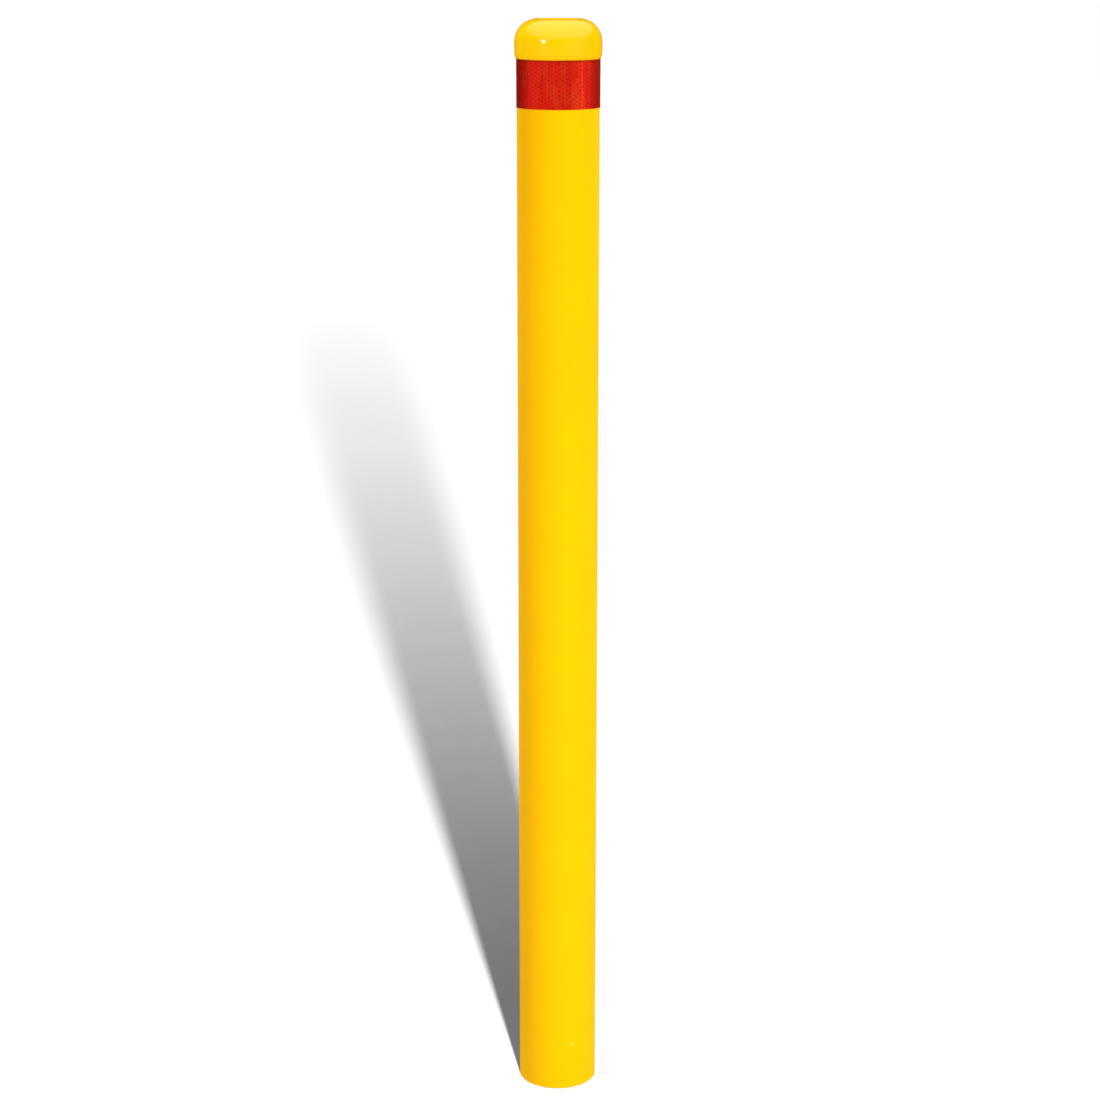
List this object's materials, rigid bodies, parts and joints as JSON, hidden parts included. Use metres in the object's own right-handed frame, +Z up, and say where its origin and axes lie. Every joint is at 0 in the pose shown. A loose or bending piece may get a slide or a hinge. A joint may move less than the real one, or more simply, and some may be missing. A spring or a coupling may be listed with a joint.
{
  "type": "delineator post",
  "caption": "Rigid round steel marker post, yellow coated, with a red reflective band under a domed screwed-on cap and a plain open foot.",
  "frame": {"origin": "centre of the tube's foot face, at the level that the post stands on", "axes": "+Z up along the tube to the cap; -Y is the front, with the tape's lap edge to its right; +X is to the right seen from the front"},
  "size_m": [0.0936, 0.0934, 1.222],
  "materials": {
    "post_coat": "gloss",
    "cap_plastic": "gloss",
    "film_red": "gloss",
    "film_adhesive": "satin",
    "plug_plastic": "matte",
    "bush_brass": "machined",
    "seal_rubber": "matte",
    "fixing_steel": "satin"
  },
  "bodies": {
    "post": {"post_tube": "post_coat", "tube_insert": "plug_plastic", "insert_bush": "bush_brass", "cap_gasket": "seal_rubber", "band_adhesive": "film_adhesive", "reflective_film": "film_red"},
    "cap": {"top_cap": "cap_plastic"},
    "screw": {"cap_screw": "fixing_steel", "screw_washer": "fixing_steel", "screw_seal": "seal_rubber"}
  },
  "joints": [
    {"name": "cap_lift", "type": "slide", "parent": "post", "child": "cap", "axis": [0, 0, 1], "range_m": [0, 0.045]},
    {"name": "screw_turn", "type": "hinge", "parent": "cap", "child": "screw", "pos_m": [0, 0, 1.213], "axis": [0, 0, 1], "continuous": true}
  ]
}
